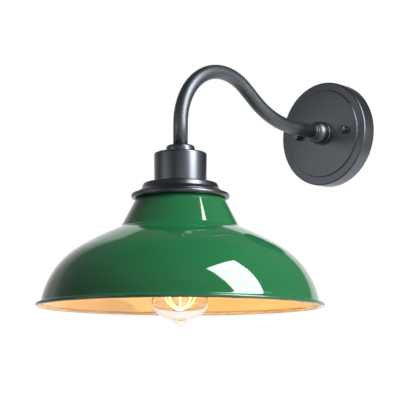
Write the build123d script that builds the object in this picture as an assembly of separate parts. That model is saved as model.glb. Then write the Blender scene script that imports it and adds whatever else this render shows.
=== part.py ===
from build123d import *
import math
import os

# Gooseneck wall sconce in millimetres. The wall is the plane Y = 0, +Z is up and the light stands
# out along -Y. The origin is the centre of the round backplate, on the wall.

# ---- Clearances ----------------------------------------------------------------------------------
THREAD_GAP = 0.07      # radial play of a screwed pair, drawn as plain cylinders
SLIP_GAP = 0.05        # radial play of a pushed-together pair
FACE_GAP = 0.1         # between flat faces of pieces that move apart
HOLE_GAP = 0.3         # radial play of a clearance hole round a thread
TOUCH_GAP = 0.3        # between a wire's end or side and what it serves
HEAD_MARGIN = 0.25     # flat left round a screw's head
MATCH = 0.01           # how near a radius must be to count as the one meant

# ---- Shared fastener shapes ----------------------------------------------------------------------
NUT_CORNER_LEFT = 0.4  # share of a hexagon's corner overhang that its turned ends keep
HEAD_ROUND = 0.35      # share of a pan head's height that is rounded off

# ---- Backplate -----------------------------------------------------------------------------------
PLATE_R = 62.5
PLATE_WALL = 1.6
PLATE_RIM_DEPTH = 18.4
PLATE_STEP = 2.0       # the middle disc stands out this far from the rim's front
PLATE_DISC_R = 52.6
PLATE_CORNER_R = 2.0
PLATE_STEP_R = 1.0
PLATE_STEP_FOOT_R = 0.5

# ---- Wall strap, studs and thumb nuts ------------------------------------------------------------
STRAP_END = 3.05       # bar left beyond each slot
STRAP_WIDTH = 20.0
STRAP_THICKNESS = 2.0
STRAP_CORNER_R = 5.0
BOX_SCREW_SPACING = 88.9
BOX_SLOT_LENGTH = 11.0
BOX_SLOT_R = 2.4
STUD_SPACING = 69.85
STUD_R = 2.08
STUD_CHAMFER = 0.4
STUD_NUT_FLATS = 8.7
STUD_NUT_HEIGHT = 3.1
THUMB_NUT_R = 4.4
THUMB_NUT_LENGTH = 6.6
THUMB_NUT_CROWN = 1.6  # closed end over the stud
THUMB_NUT_EDGE_R = 1.1
NUT_WASHER_R = 5.0
NUT_WASHER_THICKNESS = 0.8
GROUND_SCREW_X = -18.0
GROUND_SCREW_R = 1.7
GROUND_HEAD_R = 3.6
GROUND_HEAD_HEIGHT = 2.2

# ---- Arm -----------------------------------------------------------------------------------------
REACH = 265.4          # wall to shade axis
ARM_R = 7.94
ARM_WALL = 1.4
RISE_ANGLE = 34.5      # how steeply the neck climbs between its two bends
RISE_BEND_R = 120.0
RISE_LENGTH = 20.5
TOP_BEND_R = 67.5
COLLAR_LENGTH = 20.5
COLLAR_WEB = 3.0
COLLAR_FOOT_R = 14.2
COLLAR_FOOT_HEIGHT = 2.2
COLLAR_FOOT_EDGE_R = 1.0
COLLAR_BALL_R = 13.4
COLLAR_BALL_WIDEST = 0.36      # how far up the ball it is widest, as a share of its height
COLLAR_NECK_R = 9.2
COLLAR_RING_R = 10.2
COLLAR_RING_STEP = 0.5         # the outer ring is this much smaller
COLLAR_RING_WIDTH = 2.0
COLLAR_RING_EDGE_R = 0.9
COLLAR_GROOVE = 1.0

# ---- Threaded tubes, their bushes, nuts and washer -----------------------------------------------
NIPPLE_R = 4.65
NIPPLE_BORE_R = 3.3
NIPPLE_END = 1.5       # thread showing past a nut
BUSH_LENGTH = 12.0
BUSH_THREAD = 9.6      # thread engaged in a bush
NIPPLE_NUT_FLATS = 14.0
LOCK_NUT_HEIGHT = 4.0
SLIM_NUT_HEIGHT = 3.5
LOCK_WASHER_R = 8.6
LOCK_WASHER_THICKNESS = 1.0
LOCK_WASHER_TEETH = 10
TOOTH_NOTCH_R = 0.9

# ---- Neck ring and socket cup --------------------------------------------------------------------
NECK_TOP_Z = -47.0
NECK_R = 15.4
NECK_EDGE_R = 2.8
NECK_WEB = 2.0
CUP_TOP_Z = -55.1
CUP_TOP_R = 28.3
CUP_BASE_R = 27.9
CUP_EDGE_R = 2.2
CUP_WALL = 1.2

# ---- Gallery (the cap over the shade's neck) -----------------------------------------------------
GALLERY_Z = -88.2
GALLERY_WALL = 1.2
GALLERY_FLAT_R = 39.6          # where the flat top and the side would meet without their bend
GALLERY_FLAT_BEND_R = 2.4
GALLERY_WAIST = (41.7, -94.6)
GALLERY_WAIST_BEND_R = 4.0
GALLERY_BEAD_RING_R = 49.7
GALLERY_BEAD_Z = -101.8
GALLERY_BEAD_R = 2.9
GALLERY_LIP_HEIGHT = 3.0
SHADE_HOLE_R = 19.7

# ---- Shade ---------------------------------------------------------------------------------------
SHADE_WALL = 1.2
SHADE_FLAT_R = 28.5
SHADE_FLAT_BEND_R = 4.5
SHADE_SHOULDER_Z = -98.5
CONE_TOP = (47.1, -104.0)      # two points of the cone's outside
CREASE = (63.7, -136.0)
CREASE_R = 4.0
SHOULDER_R = 9.0
BOWL_R = 84.4
BOWL_SWEEP = 48.0
BOWL_END_ANGLE = 79.0          # below horizontal, where the bowl meets the rim
BOWL_END = (146.4, -213.5)
RIM_OUT = 4.0                  # from the bowl's end out to the middle of the rolled rim
RIM_DROP = 4.7                 # and down to it
RIM_BEAD_R = 2.0
RIM_TURN_R = 1.6

# ---- Lamp socket ---------------------------------------------------------------------------------
SOCKET_FLANGE_HEIGHT = 5.0
SKIRT_R = 19.0
SKIRT_END_Z = -124.0
SHELL_BORE_R = 13.6
SHELL_WALL = 0.5
SHELL_TOP_Z = -99.2
CONTACT_POCKET_R = 8.0
CONTACT_POCKET_DEPTH = 4.0
CONTACT_RIVET_R = 1.6
CONTACT_DISC_R = 5.0
CONTACT_DISC_THICKNESS = 0.8
RING_OUTER_R = 25.0
RING_HEIGHT = 6.0
RING_GRIPS = 12
RING_GRIP_R = 1.6
RING_CHAMFER = 0.6
TERMINAL_X = 10.0
TERMINAL_HEAD_R = 3.2
TERMINAL_HEAD_HEIGHT = 2.2
TERMINAL_SHANK_R = 1.7
TERMINAL_DEPTH = 4.2
BRACKET_THICKNESS = 1.5
BRACKET_WIDTH = 14.0

# ---- Wires ---------------------------------------------------------------------------------------
WIRE_R = 1.1
WIRE_X = 1.7                   # each conductor's distance from the arm's plane
WIRE_BEND_R = 5.0
WIRE_FAN_R = 3.0
WIRE_FAN_DROP = 6.0
CONNECTOR_MOUTH_R = 4.4
CONNECTOR_TIP_R = 3.0
CONNECTOR_EDGE_R = 1.5
CONNECTOR_START = 20.0
CONNECTOR_LENGTH = 18.0
CONNECTOR_BORE = 10.0
GROUND_RUN = (14.0, 8.0)       # where the ground lead leaves the screw's height, and its bend radius

# ---- Bulb ----------------------------------------------------------------------------------------
BULB_TIP_Z = -240.0
BULB_R = 30.2
BULB_WIDEST_Z = -214.5
BULB_BOTTOM = 20.4             # widest ring down to where the rounded bottom would end
BULB_NECK_R = 11.9
BULB_TAPER_TOP_Z = -139.8
BULB_TAPER_END_Z = -208.0
BULB_NECK_BEND_R = 80.0
BULB_BODY_BEND_R = 44.0
BULB_PIP_R = 10.2
BULB_TIP_R = 4.8
GLASS_WALL = 0.9
BASE_TIP_Z = -98.4
BASE_CONTACT_R = 4.6
BASE_CONTACT_HEIGHT = 1.8
BASE_CONTACT_EDGE_R = 1.1
BASE_INSULATOR_R = 10.4
BASE_INSULATOR_HEIGHT = 3.0
BASE_THREAD_R = 13.1
BASE_ROOT_R = 12.5
BASE_PITCH = 3.63
BASE_TURNS = 6
BASE_WALL = 0.3
STEM_R = 4.0
STEM_END_Z = -168.0
STEM_BUTTON_R = 4.4
FILAMENT_R = 0.35
FILAMENT_LOOP_R = 16.0
FILAMENT_BOTTOM_Z = -223.4
FILAMENT_LOOPS = 4
FILAMENT_STEP = 1.1            # height between crossings on the axis
SUPPORT_R = 0.4

# ---- Worked out ----------------------------------------------------------------------------------
STRAP_LENGTH = BOX_SCREW_SPACING + BOX_SLOT_LENGTH + 2 * STRAP_END
PLATE_FACE = PLATE_RIM_DEPTH + PLATE_STEP
COLLAR_SEAT = PLATE_FACE + COLLAR_WEB
LOCK_WASHER_FACE = PLATE_FACE - PLATE_WALL
LOCK_NUT_FACE = LOCK_WASHER_FACE - LOCK_WASHER_THICKNESS
NIPPLE_INNER_END = LOCK_NUT_FACE - LOCK_NUT_HEIGHT - NIPPLE_END
WIRE_DEPTH = NIPPLE_INNER_END - WIRE_BEND_R
WIRE_TIP = CONNECTOR_START + CONNECTOR_BORE - TOUCH_GAP
NECK_SEAT_Z = CUP_TOP_Z + NECK_WEB
CUP_CEILING_Z = CUP_TOP_Z - CUP_WALL
BRACKET_TOP_Z = CUP_CEILING_Z - SLIM_NUT_HEIGHT
BRACKET_UNDER_Z = BRACKET_TOP_Z - BRACKET_THICKNESS
SOCKET_NIPPLE_END_Z = BRACKET_UNDER_Z - SLIM_NUT_HEIGHT - NIPPLE_END
CUP_BORE_R = CUP_BASE_R - CUP_WALL
SOCKET_FLANGE_R = CUP_BORE_R - GALLERY_WALL - HOLE_GAP
FLANGE_TOP_Z = GALLERY_Z + SOCKET_FLANGE_HEIGHT
BRACKET_SCREW_Y = SOCKET_FLANGE_R - TERMINAL_HEAD_R - HEAD_MARGIN
BRACKET_LEG_Y = BRACKET_SCREW_Y - TERMINAL_HEAD_R - HEAD_MARGIN
SHADE_TOP_Z = GALLERY_Z - GALLERY_WALL - FACE_GAP
RING_TOP_Z = SHADE_TOP_Z - SHADE_WALL - FACE_GAP
RIM_RING_R = BOWL_END[0] + RIM_OUT
RIM_Z = BOWL_END[1] - RIM_DROP
WASHER_FACE = PLATE_FACE + FACE_GAP
THUMB_NUT_FACE = WASHER_FACE + NUT_WASHER_THICKNESS + FACE_GAP
STUD_END = THUMB_NUT_FACE + THUMB_NUT_LENGTH - THUMB_NUT_CROWN - FACE_GAP
NIPPLE_HOLE_R = NIPPLE_R + HOLE_GAP
NIPPLE_THREAD_R = NIPPLE_R + THREAD_GAP
CONE_SLOPE = (CREASE[0] - CONE_TOP[0]) / (CONE_TOP[1] - CREASE[1])
INSULATOR_TOP_Z = BASE_TIP_Z - BASE_CONTACT_HEIGHT
INSULATOR_END_Z = INSULATOR_TOP_Z - BASE_INSULATOR_HEIGHT
BASE_SHELL_TOP_Z = (INSULATOR_TOP_Z + INSULATOR_END_Z) / 2
BULB_NECK_END_Z = INSULATOR_END_Z - BASE_PITCH * (BASE_TURNS - 1)
SHELL_LINER_R = SHELL_BORE_R + SHELL_WALL

OUT_OF_WALL = Rot(90, 0, 0)            # turns a piece built up along +Z to stand out of the wall along -Y
SHADE_AXIS = Pos(0, -REACH, 0)
ARM_PLANE = Plane(origin=(0, 0, 0), x_dir=(0, -1, 0), z_dir=(-1, 0, 0))
PROFILE = Plane.XZ                     # a turned piece's profile: radius across, height up


def turned(face):
    """Turns a flat profile of (radius, height) round the vertical axis."""
    return revolve(PROFILE * face, Axis.Z)


def outline(*points):
    """A closed straight-sided profile."""
    return make_face(Polyline(*points, close=True))


def ring(inner_r, outer_r, low, high):
    """A plain turned ring; its inner radius may be 0."""
    return turned(outline((inner_r, low), (outer_r, low), (outer_r, high), (inner_r, high)))


def sheet(path, wall, side):
    """A profile of constant wall thickness on one side of a path of (radius, height)."""
    return make_face(offset(path, amount=wall, side=side, closed=True).edges())


def bead(ring_r, bead_r, height):
    """A rolled edge: a round ring."""
    return turned(Pos(ring_r, height) * Circle(bead_r))


def nut(flats, hole_r, low, high):
    """A hexagon nut with its top and bottom corners turned off."""
    corner = flats / math.sqrt(3)
    chamfer_r = flats / 2 + NUT_CORNER_LEFT * (corner - flats / 2)
    drop = corner - chamfer_r
    hexagon = Pos(0, 0, low) * extrude(RegularPolygon(corner, 6), high - low)
    envelope = turned(outline((hole_r, low), (chamfer_r, low), (corner, low + drop),
                              (corner, high - drop), (chamfer_r, high), (hole_r, high)))
    return hexagon & envelope


def pan_head(head_r, height, low):
    """A screw head with its top edge rounded."""
    head = ring(0, head_r, low, low + height)
    return fillet(head.edges().group_by(Axis.Z)[-1], HEAD_ROUND * height)


def tube_along(path, outer_r, bore_r=0.0):
    """Sweeps a round bar or tube along a smooth path."""
    section = Circle(outer_r) - Circle(bore_r) if bore_r else Circle(outer_r)
    return sweep(Plane(origin=path @ 0, z_dir=path % 0) * section, path=path)


# ---- Wall side -----------------------------------------------------------------------------------
def mounting_strap():
    bar = Rectangle(STRAP_LENGTH, STRAP_WIDTH)
    bar = fillet(bar.vertices(), STRAP_CORNER_R)
    for side in (-1, 1):
        slot = SlotOverall(BOX_SLOT_LENGTH, 2 * BOX_SLOT_R)
        bar -= Pos(side * BOX_SCREW_SPACING / 2, 0) * slot
        bar -= Pos(side * STUD_SPACING / 2, 0) * Circle(STUD_R + THREAD_GAP)
    bar -= Pos(GROUND_SCREW_X, 0) * Circle(GROUND_SCREW_R + THREAD_GAP)
    return OUT_OF_WALL * extrude(bar, STRAP_THICKNESS)


def at_studs(piece):
    """The piece at both studs, as separate solids."""
    return [Pos(side * STUD_SPACING / 2, 0, 0) * OUT_OF_WALL * piece for side in (-1, 1)]


def canopy_studs():
    rod = Cylinder(STUD_R, STUD_END, align=(Align.CENTER, Align.CENTER, Align.MIN))
    rod = chamfer(rod.edges().filter_by(GeomType.CIRCLE), STUD_CHAMFER)
    return Compound(children=at_studs(rod))


def stud_lock_nuts():
    high = STRAP_THICKNESS + STUD_NUT_HEIGHT
    return Compound(children=at_studs(nut(STUD_NUT_FLATS, STUD_R + THREAD_GAP, STRAP_THICKNESS, high)))


def thumb_nut():
    base, end = THUMB_NUT_FACE, THUMB_NUT_FACE + THUMB_NUT_LENGTH
    body = ring(0, THUMB_NUT_R, base, end)
    body = fillet(body.edges().group_by(Axis.Z)[-1], THUMB_NUT_EDGE_R)
    return body - ring(0, STUD_R + THREAD_GAP, base, end - THUMB_NUT_CROWN)


def nut_washer():
    return ring(STUD_R + THREAD_GAP, NUT_WASHER_R, WASHER_FACE, WASHER_FACE + NUT_WASHER_THICKNESS)


def ground_screw():
    head = pan_head(GROUND_HEAD_R, GROUND_HEAD_HEIGHT, STRAP_THICKNESS)
    screw = head + ring(0, GROUND_SCREW_R, 0, STRAP_THICKNESS)
    return Pos(GROUND_SCREW_X, 0, 0) * OUT_OF_WALL * screw


def backplate():
    inner_face = PLATE_FACE - PLATE_WALL
    section = make_face(FilletPolyline(
        (0, 0), (PLATE_R, 0), (PLATE_R, PLATE_RIM_DEPTH), (PLATE_DISC_R, PLATE_RIM_DEPTH),
        (PLATE_DISC_R, PLATE_FACE), (0, PLATE_FACE),
        radius=(0, 0, PLATE_CORNER_R, PLATE_STEP_FOOT_R, PLATE_STEP_R, 0), close=True))
    hollow_r = PLATE_R - PLATE_WALL
    disc_hollow_r = PLATE_DISC_R - PLATE_WALL
    rim_hollow = PLATE_RIM_DEPTH - PLATE_WALL
    section -= outline((0, 0), (hollow_r, 0), (hollow_r, rim_hollow), (disc_hollow_r, rim_hollow),
                       (disc_hollow_r, inner_face), (0, inner_face))
    plate = turned(section) - ring(0, NIPPLE_HOLE_R, inner_face, PLATE_FACE)
    for side in (-1, 1):
        hole = ring(0, STUD_R + HOLE_GAP, inner_face, PLATE_FACE)
        plate -= Pos(side * STUD_SPACING / 2, 0, 0) * hole
    return OUT_OF_WALL * plate


def arm_collar():
    foot_top = PLATE_FACE + COLLAR_FOOT_HEIGHT
    end = PLATE_FACE + COLLAR_LENGTH
    ring_low = end - 2 * COLLAR_RING_WIDTH - COLLAR_GROOVE
    neck_low = ring_low - COLLAR_GROOVE
    body = ring(0, COLLAR_NECK_R, PLATE_FACE, end)
    foot = ring(0, COLLAR_FOOT_R, PLATE_FACE, foot_top)
    body += fillet(foot.edges().group_by(Axis.Z)[-1], COLLAR_FOOT_EDGE_R)
    low = (COLLAR_FOOT_R - COLLAR_FOOT_HEIGHT, foot_top)
    widest = (COLLAR_BALL_R, foot_top + COLLAR_BALL_WIDEST * (neck_low - foot_top))
    high = (COLLAR_NECK_R, neck_low)
    ball = make_face([ThreePointArc(low, widest, high), Line(high, (0, neck_low)),
                      Line((0, neck_low), (0, foot_top)), Line((0, foot_top), low)])
    body += turned(ball)
    for n in range(2):
        bottom = ring_low + n * (COLLAR_RING_WIDTH + COLLAR_GROOVE)
        band = ring(0, COLLAR_RING_R - n * COLLAR_RING_STEP, bottom, bottom + COLLAR_RING_WIDTH)
        body += fillet(band.edges().filter_by(GeomType.CIRCLE), COLLAR_RING_EDGE_R)
    body -= ring(0, ARM_R + SLIP_GAP, COLLAR_SEAT, end)
    body -= ring(0, NIPPLE_HOLE_R, PLATE_FACE, COLLAR_SEAT)
    return OUT_OF_WALL * body


def arm_lock_washer():
    flat = Circle(LOCK_WASHER_R) - Circle(NIPPLE_HOLE_R)
    for n in range(LOCK_WASHER_TEETH):
        turn = Rot(0, 0, n * 360 / LOCK_WASHER_TEETH)
        flat -= turn * Pos(LOCK_WASHER_R, 0) * Circle(TOOTH_NOTCH_R)
    return OUT_OF_WALL * Pos(0, 0, LOCK_NUT_FACE) * extrude(flat, LOCK_WASHER_THICKNESS)


def arm_lock_nut():
    low = LOCK_NUT_FACE - LOCK_NUT_HEIGHT
    return OUT_OF_WALL * nut(NIPPLE_NUT_FLATS, NIPPLE_THREAD_R, low, LOCK_NUT_FACE)


def arm_bush(low, high):
    """The threaded plug brazed into an end of the arm."""
    return ring(NIPPLE_THREAD_R, ARM_R - ARM_WALL - SLIP_GAP, low, high)


def wall_bush():
    return OUT_OF_WALL * arm_bush(COLLAR_SEAT, COLLAR_SEAT + BUSH_LENGTH)


def wall_nipple():
    return OUT_OF_WALL * ring(NIPPLE_BORE_R, NIPPLE_R, NIPPLE_INNER_END, COLLAR_SEAT + BUSH_THREAD)


# ---- Arm -----------------------------------------------------------------------------------------
def neck_curves():
    """The gooseneck's centre line as (distance out, height), from the collar to its straight drop."""
    rise = math.radians(RISE_ANGLE)
    bends = RISE_BEND_R * math.sin(rise) + TOP_BEND_R * (1 + math.sin(rise))
    level_end = REACH - bends - RISE_LENGTH * math.cos(rise)
    level = Line((COLLAR_SEAT, 0), (level_end, 0))
    first = JernArc(level @ 1, level % 1, RISE_BEND_R, RISE_ANGLE)
    climb = Line(first @ 1, (first @ 1) + (first % 1) * RISE_LENGTH)
    over = JernArc(climb @ 1, climb % 1, TOP_BEND_R, -(90 + RISE_ANGLE))
    return [level, first, climb, over]


def arm_tube():
    curves = neck_curves()
    drop = Line(curves[-1] @ 1, (REACH, NECK_SEAT_Z))
    path = ARM_PLANE * Wire(curves + [drop])
    return tube_along(path, ARM_R, ARM_R - ARM_WALL)


# ---- Socket cup, gallery and what holds them -----------------------------------------------------
def neck_ring():
    body = ring(0, NECK_R, CUP_TOP_Z, NECK_TOP_Z)
    body = fillet(body.edges().group_by(Axis.Z)[-1], NECK_EDGE_R)
    body -= ring(0, ARM_R + SLIP_GAP, NECK_SEAT_Z, NECK_TOP_Z)
    body -= ring(0, NIPPLE_HOLE_R, CUP_TOP_Z, NECK_SEAT_Z)
    return SHADE_AXIS * body


def socket_bush():
    return SHADE_AXIS * arm_bush(NECK_SEAT_Z, NECK_SEAT_Z + BUSH_LENGTH)


def socket_nipple():
    return SHADE_AXIS * ring(NIPPLE_BORE_R, NIPPLE_R, SOCKET_NIPPLE_END_Z, NECK_SEAT_Z + BUSH_THREAD)


def socket_lock_nuts():
    upper = nut(NIPPLE_NUT_FLATS, NIPPLE_THREAD_R, BRACKET_TOP_Z, CUP_CEILING_Z)
    lower = nut(NIPPLE_NUT_FLATS, NIPPLE_THREAD_R, BRACKET_UNDER_Z - SLIM_NUT_HEIGHT, BRACKET_UNDER_Z)
    return Compound(children=[SHADE_AXIS * upper, SHADE_AXIS * lower])


def socket_cup():
    hole_edge = (NIPPLE_HOLE_R, CUP_TOP_Z)
    path = FilletPolyline(hole_edge, (CUP_TOP_R, CUP_TOP_Z), (CUP_BASE_R, GALLERY_Z), radius=CUP_EDGE_R)
    return SHADE_AXIS * turned(sheet(path, CUP_WALL, Side.RIGHT))


def gallery():
    bead_top = (GALLERY_BEAD_RING_R, GALLERY_BEAD_Z + GALLERY_BEAD_R - GALLERY_WALL / 2)
    path = FilletPolyline((SHADE_HOLE_R, GALLERY_Z), (GALLERY_FLAT_R, GALLERY_Z), GALLERY_WAIST, bead_top,
                          radius=(GALLERY_FLAT_BEND_R, GALLERY_WAIST_BEND_R))
    shell = turned(sheet(path, GALLERY_WALL, Side.RIGHT))
    lip = ring(CUP_BORE_R - GALLERY_WALL, CUP_BORE_R - SLIP_GAP,
               GALLERY_Z, GALLERY_Z + GALLERY_LIP_HEIGHT)
    return SHADE_AXIS * (shell + lip + bead(GALLERY_BEAD_RING_R, GALLERY_BEAD_R, GALLERY_BEAD_Z))


def socket_bracket():
    """A bent strap: its top is clamped on the nipple and its feet are screwed to the socket."""
    inside = BRACKET_LEG_Y - BRACKET_THICKNESS
    foot_top = FLANGE_TOP_Z + BRACKET_THICKNESS
    half = outline(
        (0, BRACKET_TOP_Z), (BRACKET_LEG_Y, BRACKET_TOP_Z), (BRACKET_LEG_Y, foot_top),
        (SOCKET_FLANGE_R, foot_top), (SOCKET_FLANGE_R, FLANGE_TOP_Z), (inside, FLANGE_TOP_Z),
        (inside, BRACKET_UNDER_Z), (0, BRACKET_UNDER_Z))
    strap = extrude(Plane.YZ * (half + mirror(half, Plane.YZ)), BRACKET_WIDTH / 2, both=True)
    strap -= ring(0, NIPPLE_HOLE_R, BRACKET_UNDER_Z, BRACKET_TOP_Z)
    for side in (-1, 1):
        hole = ring(0, TERMINAL_SHANK_R + HOLE_GAP, FLANGE_TOP_Z, foot_top)
        strap -= Pos(0, side * BRACKET_SCREW_Y, 0) * hole
    return SHADE_AXIS * strap


def flat_screw(head_low):
    """A small pan-head screw standing in the socket, its head's underside at the given height."""
    head = pan_head(TERMINAL_HEAD_R, TERMINAL_HEAD_HEIGHT, head_low)
    return head + ring(0, TERMINAL_SHANK_R, FLANGE_TOP_Z - TERMINAL_DEPTH, head_low)


def bracket_screws():
    screw = flat_screw(FLANGE_TOP_Z + BRACKET_THICKNESS)
    return Compound(children=[SHADE_AXIS * Pos(0, side * BRACKET_SCREW_Y, 0) * screw for side in (-1, 1)])


def terminal_screws():
    screw = flat_screw(FLANGE_TOP_Z)
    return Compound(children=[SHADE_AXIS * Pos(side * TERMINAL_X, 0, 0) * screw for side in (-1, 1)])


def socket_body():
    pocket_top = SHELL_TOP_Z + CONTACT_POCKET_DEPTH
    shell_r = SHELL_LINER_R + SLIP_GAP
    rivet_r = CONTACT_RIVET_R + SLIP_GAP
    body = turned(outline(
        (rivet_r, FLANGE_TOP_Z), (SOCKET_FLANGE_R, FLANGE_TOP_Z), (SOCKET_FLANGE_R, GALLERY_Z),
        (SKIRT_R, GALLERY_Z), (SKIRT_R, SKIRT_END_Z), (shell_r, SKIRT_END_Z), (shell_r, SHELL_TOP_Z),
        (CONTACT_POCKET_R, SHELL_TOP_Z), (CONTACT_POCKET_R, pocket_top), (rivet_r, pocket_top)))
    hole = ring(0, TERMINAL_SHANK_R + SLIP_GAP, FLANGE_TOP_Z - TERMINAL_DEPTH, FLANGE_TOP_Z)
    for side in (-1, 1):
        body -= Pos(0, side * BRACKET_SCREW_Y, 0) * hole
        body -= Pos(side * TERMINAL_X, 0, 0) * hole
    return SHADE_AXIS * body


def screw_shell():
    return SHADE_AXIS * ring(SHELL_BORE_R, SHELL_LINER_R, SKIRT_END_Z, SHELL_TOP_Z)


def centre_contact():
    """A brass spring disc over the bulb's tip, on its rivet."""
    low = BASE_TIP_Z + TOUCH_GAP
    disc = ring(0, CONTACT_DISC_R, low, low + CONTACT_DISC_THICKNESS)
    return SHADE_AXIS * (disc + ring(0, CONTACT_RIVET_R, low + CONTACT_DISC_THICKNESS, FLANGE_TOP_Z))


def shade_ring():
    """The ring that screws up the socket's skirt and clamps the shade."""
    low = RING_TOP_Z - RING_HEIGHT
    body = ring(SKIRT_R + THREAD_GAP, RING_OUTER_R, low, RING_TOP_Z)
    body = chamfer(body.edges().filter_by(GeomType.CIRCLE).group_by(SortBy.RADIUS)[-1], RING_CHAMFER)
    for n in range(RING_GRIPS):
        turn = Rot(0, 0, n * 360 / RING_GRIPS)
        body -= turn * Pos(RING_OUTER_R + RING_GRIP_R / 2, 0, 0) * ring(0, RING_GRIP_R, low, RING_TOP_Z)
    return SHADE_AXIS * body


# ---- Shade ---------------------------------------------------------------------------------------
def shade_path():
    """The outside of the enamelled shade from its hole to its rim, as (radius, height)."""
    shoulder = (CONE_TOP[0] + (CONE_TOP[1] - SHADE_SHOULDER_Z) * CONE_SLOPE, SHADE_SHOULDER_Z)
    end = math.radians(BOWL_END_ANGLE)
    up_the_bowl = Vector(-math.cos(end), math.sin(end))
    bowl = JernArc(BOWL_END, up_the_bowl, BOWL_R, BOWL_SWEEP)
    brow = TangentArc(bowl @ 1, CREASE, tangent=bowl % 1)
    neck = FilletPolyline((SHADE_HOLE_R, SHADE_TOP_Z), (SHADE_FLAT_R, SHADE_TOP_Z), shoulder, CREASE,
                          radius=(SHADE_FLAT_BEND_R, SHOULDER_R))
    return neck, brow, bowl


def shade():
    neck, brow, bowl = shade_path()
    flange_top = RIM_Z + RIM_BEAD_R
    down = Vector(math.cos(math.radians(BOWL_END_ANGLE)), -math.sin(math.radians(BOWL_END_ANGLE)))
    foot = Vector(*BOWL_END) + down * ((BOWL_END[1] - flange_top) / -down.Y)
    lower = FilletPolyline(BOWL_END, (foot.X, flange_top), (RIM_RING_R, flange_top), radius=RIM_TURN_R)
    path = Wire([*neck.edges(), brow.edge(), bowl.edge(), *lower.edges()])
    section = sheet(path, SHADE_WALL, Side.RIGHT)
    body = turned(section) + bead(RIM_RING_R, RIM_BEAD_R, RIM_Z)
    crease = [e for e in body.edges().filter_by(GeomType.CIRCLE) if abs(e.radius - CREASE[0]) < MATCH]
    return SHADE_AXIS * fillet(crease, CREASE_R)


# ---- Wires ---------------------------------------------------------------------------------------
def conductor(side):
    """One insulated lead, from its connector behind the backplate through the arm to its terminal.
    side is 1 or -1."""
    turn = math.copysign(90, side)
    curves = neck_curves()
    start = Line((WIRE_DEPTH, side * WIRE_TIP), (WIRE_DEPTH, side * WIRE_BEND_R))
    corner = JernArc(start @ 1, start % 1, WIRE_BEND_R, turn)
    through = Line(corner @ 1, curves[0] @ 0)
    arm_end_z = SOCKET_NIPPLE_END_Z - NIPPLE_END
    drop = Line(curves[-1] @ 1, (REACH, arm_end_z))
    in_arm = Pos(side * WIRE_X, 0, 0) * (ARM_PLANE * Wire([start, corner, through, *curves, drop]))
    end_z = FLANGE_TOP_Z + TERMINAL_HEAD_HEIGHT + TOUCH_GAP
    fan_top_z = arm_end_z - WIRE_FAN_R
    fan = FilletPolyline((side * WIRE_X, -REACH, arm_end_z), (side * WIRE_X, -REACH, fan_top_z),
                         (side * TERMINAL_X, -REACH, fan_top_z - WIRE_FAN_DROP),
                         (side * TERMINAL_X, -REACH, end_z), radius=WIRE_FAN_R)
    return tube_along(Wire([*in_arm.edges(), *fan.edges()]), WIRE_R)


def ground_lead():
    low = STRAP_THICKNESS + GROUND_HEAD_HEIGHT + TOUCH_GAP + WIRE_R
    leave, bend = GROUND_RUN
    path = FilletPolyline((GROUND_SCREW_X, -low, -GROUND_HEAD_R), (GROUND_SCREW_X, -low, leave - bend),
                          (GROUND_SCREW_X, -WIRE_DEPTH, leave), (GROUND_SCREW_X, -WIRE_DEPTH, WIRE_TIP),
                          radius=bend)
    return tube_along(path, WIRE_R)


def wire_connectors():
    """Twist-on caps on the three leads behind the backplate."""
    end = CONNECTOR_START + CONNECTOR_LENGTH
    cap = turned(outline((0, CONNECTOR_START), (CONNECTOR_MOUTH_R, CONNECTOR_START),
                         (CONNECTOR_TIP_R, end), (0, end)))
    cap = fillet(cap.edges().group_by(Axis.Z)[-1], CONNECTOR_EDGE_R)
    cap -= ring(0, WIRE_R + SLIP_GAP, CONNECTOR_START, CONNECTOR_START + CONNECTOR_BORE)
    upper = Pos(WIRE_X, -WIRE_DEPTH, 0) * cap
    lower = Pos(-WIRE_X, -WIRE_DEPTH, 0) * Rot(180, 0, 0) * cap
    ground = Pos(GROUND_SCREW_X, -WIRE_DEPTH, 0) * cap
    return Compound(children=[upper, lower, ground])


# ---- Bulb ----------------------------------------------------------------------------------------
def tip_point(tip_z, tip_r, angle):
    """A point of the pip's round end, by its angle from the axis."""
    return (tip_r * math.sin(angle), tip_z + tip_r * (1 - math.cos(angle)))


def glass_profile(inset):
    """Half the bulb's outline, moved inwards by inset."""
    bottom = BULB_BOTTOM - inset
    widest = BULB_R - inset
    pip = BULB_PIP_R - inset
    pip_angle = math.degrees(math.acos(pip / widest))
    neck = BULB_NECK_R - inset
    side = FilletPolyline((neck, BULB_NECK_END_Z), (neck, BULB_TAPER_TOP_Z),
                          (widest, BULB_TAPER_END_Z), (widest, BULB_WIDEST_Z),
                          radius=(BULB_NECK_BEND_R, BULB_BODY_BEND_R))
    round_end = EllipticalCenterArc((0, BULB_WIDEST_Z), widest, bottom, 0, arc_size=-pip_angle)
    tip_z = BULB_TIP_Z + inset
    tip_r = BULB_TIP_R - inset
    rise = (round_end @ 1).Y - tip_z - tip_r
    flank_angle = math.atan2(rise, pip) + math.asin(tip_r / math.hypot(rise, pip))
    tip = ThreePointArc((0, tip_z), tip_point(tip_z, tip_r, flank_angle / 2),
                        tip_point(tip_z, tip_r, flank_angle))
    flank = Line(round_end @ 1, tip @ 1)
    axis = Line((0, tip_z), (0, BULB_NECK_END_Z))
    top = Line((0, BULB_NECK_END_Z), (neck, BULB_NECK_END_Z))
    return make_face([*side.edges(), round_end.edge(), flank, tip, axis, top])


def bulb_glass():
    return SHADE_AXIS * turned(glass_profile(0) - glass_profile(GLASS_WALL))


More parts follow.
